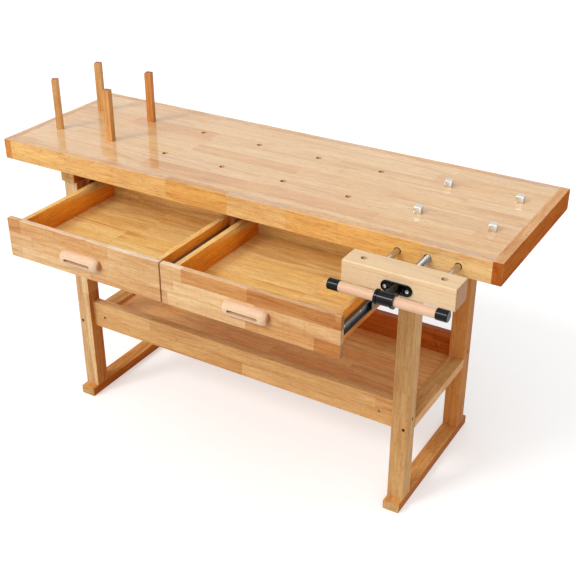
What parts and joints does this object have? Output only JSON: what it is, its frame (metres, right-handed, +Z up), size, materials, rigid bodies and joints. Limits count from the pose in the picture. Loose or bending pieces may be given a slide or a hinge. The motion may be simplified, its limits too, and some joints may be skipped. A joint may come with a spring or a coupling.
{
  "type": "workbench",
  "caption": "Wooden workbench with a framed top on sled-foot trestles, open drawers on steel runners, a tray shelf, a front vise, tall pegs and square bench dogs.",
  "frame": {"origin": "on the floor, under the middle of the whole outline with the drawers and the vise as they stand at rest", "axes": "+X along the worktop towards the vise end, +Y to the back, +Z up"},
  "size_m": [1.524, 0.7814, 0.965],
  "materials": {
    "top_wood": "gloss varnish",
    "apron_wood": "gloss varnish",
    "end_cap_wood": "gloss varnish on end grain",
    "frame_wood": "satin varnish",
    "hanger_wood": "plain",
    "drawer_front_wood": "satin varnish",
    "drawer_box_wood": "satin varnish",
    "shelf_wood": "satin varnish",
    "pale_wood": "smooth satin",
    "peg_wood": "satin",
    "runner_steel": "rolled zinc",
    "fastener_steel": "zinc plated",
    "bright_steel": "bright ground",
    "cast_iron": "painted dark",
    "black_paint": "gloss black",
    "black_plastic": "smooth black",
    "dog_metal": "polished"
  },
  "bodies": {
    "bench": {"top_panel": "top_wood", "front_apron": "apron_wood", "back_apron": "apron_wood", "left_end_cap": "end_cap_wood", "left_foot_beam": "frame_wood", "left_front_leg": "frame_wood", "left_back_leg": "frame_wood", "left_top_beam": "frame_wood", "left_side_rail": "frame_wood", "left_hanger": "hanger_wood", "left_drawer_outer_runners": "runner_steel", "right_end_cap": "end_cap_wood", "right_foot_beam": "frame_wood", "right_front_leg": "frame_wood", "right_back_leg": "frame_wood", "right_top_beam": "frame_wood", "right_side_rail": "frame_wood", "right_hanger": "hanger_wood", "right_drawer_outer_runners": "runner_steel", "center_hanger": "hanger_wood", "front_rail": "frame_wood", "back_rail": "frame_wood", "shelf_panel": "shelf_wood", "frame_bolts": "fastener_steel", "barrel_nuts": "fastener_steel", "wood_screws": "fastener_steel", "vise_nut_plate": "cast_iron"},
    "left_drawer": {"left_drawer_front": "drawer_front_wood", "left_drawer_inner_side": "drawer_box_wood", "left_drawer_outer_side": "drawer_box_wood", "left_drawer_back": "drawer_box_wood", "left_drawer_floor": "drawer_box_wood", "left_drawer_pull": "pale_wood", "left_drawer_inner_runners": "runner_steel"},
    "left_middle_runner": {"left_drawer_middle_runners": "runner_steel"},
    "right_drawer": {"right_drawer_front": "drawer_front_wood", "right_drawer_inner_side": "drawer_box_wood", "right_drawer_outer_side": "drawer_box_wood", "right_drawer_back": "drawer_box_wood", "right_drawer_floor": "drawer_box_wood", "right_drawer_pull": "pale_wood", "right_drawer_inner_runners": "runner_steel"},
    "right_middle_runner": {"right_drawer_middle_runners": "runner_steel"},
    "vise_jaw": {"vise_jaw": "pale_wood", "vise_guide_rods": "bright_steel", "vise_tie_plate": "bright_steel", "vise_flange": "black_paint", "vise_flange_screws": "fastener_steel"},
    "vise_screw": {"vise_screw": "bright_steel"},
    "vise_handle": {"vise_hub": "black_paint"},
    "vise_bar": {"vise_bar": "pale_wood", "vise_bar_caps": "black_plastic"},
    "peg_inner_front": {"peg_inner_front": "peg_wood"},
    "dog_inner_front": {"dog_inner_front": "dog_metal"},
    "peg_inner_back": {"peg_inner_back": "peg_wood"},
    "dog_inner_back": {"dog_inner_back": "dog_metal"},
    "peg_outer_front": {"peg_outer_front": "peg_wood"},
    "dog_outer_front": {"dog_outer_front": "dog_metal"},
    "peg_outer_back": {"peg_outer_back": "peg_wood"},
    "dog_outer_back": {"dog_outer_back": "dog_metal"}
  },
  "joints": [
    {"name": "left_drawer_slide", "type": "slide", "parent": "bench", "child": "left_drawer", "axis": [0, -1, 0], "range_m": [-0.3, 0.045]},
    {"name": "left_middle_runner_slide", "type": "slide", "parent": "bench", "child": "left_middle_runner", "axis": [0, -1, 0], "range_m": [-0.15, 0.0225]},
    {"name": "right_drawer_slide", "type": "slide", "parent": "bench", "child": "right_drawer", "axis": [0, -1, 0], "range_m": [-0.3, 0.045]},
    {"name": "right_middle_runner_slide", "type": "slide", "parent": "bench", "child": "right_middle_runner", "axis": [0, -1, 0], "range_m": [-0.15, 0.0225]},
    {"name": "vise_jaw_slide", "type": "slide", "parent": "bench", "child": "vise_jaw", "axis": [0, 1, 0], "range_m": [-0.06, 0.0995]},
    {"name": "vise_screw_turn", "type": "hinge", "parent": "vise_jaw", "child": "vise_screw", "pos_m": [0.579, -0.32425, 0.778], "axis": [0, 1, 0], "range_deg": [-4330, 7174]},
    {"name": "vise_handle_turn", "type": "hinge", "parent": "vise_jaw", "child": "vise_handle", "pos_m": [0.579, -0.32425, 0.778], "axis": [0, 1, 0], "range_deg": [-6, 100]},
    {"name": "vise_bar_slide", "type": "slide", "parent": "vise_handle", "child": "vise_bar", "axis": [1, 0, 0], "range_m": [-0.0965, 0.0885]},
    {"name": "peg_inner_front_lift", "type": "slide", "parent": "bench", "child": "peg_inner_front", "axis": [0, 0, 1], "range_m": [0, 0.06]},
    {"name": "peg_inner_back_lift", "type": "slide", "parent": "bench", "child": "peg_inner_back", "axis": [0, 0, 1], "range_m": [0, 0.06]},
    {"name": "peg_outer_front_lift", "type": "slide", "parent": "bench", "child": "peg_outer_front", "axis": [0, 0, 1], "range_m": [0, 0.06]},
    {"name": "peg_outer_back_lift", "type": "slide", "parent": "bench", "child": "peg_outer_back", "axis": [0, 0, 1], "range_m": [0, 0.06]},
    {"name": "dog_inner_front_lift", "type": "slide", "parent": "bench", "child": "dog_inner_front", "axis": [0, 0, 1], "range_m": [0, 0.04]},
    {"name": "dog_inner_back_lift", "type": "slide", "parent": "bench", "child": "dog_inner_back", "axis": [0, 0, 1], "range_m": [0, 0.04]},
    {"name": "dog_outer_front_lift", "type": "slide", "parent": "bench", "child": "dog_outer_front", "axis": [0, 0, 1], "range_m": [0, 0.04]},
    {"name": "dog_outer_back_lift", "type": "slide", "parent": "bench", "child": "dog_outer_back", "axis": [0, 0, 1], "range_m": [0, 0.04]}
  ],
  "couplings": [
    {"joint": "left_middle_runner_slide", "follows": "left_drawer_slide", "ratio": 0.5},
    {"joint": "right_middle_runner_slide", "follows": "right_drawer_slide", "ratio": 0.5},
    {"joint": "vise_screw_turn", "follows": "vise_jaw_slide", "rad_per_m": 1256.6}
  ]
}
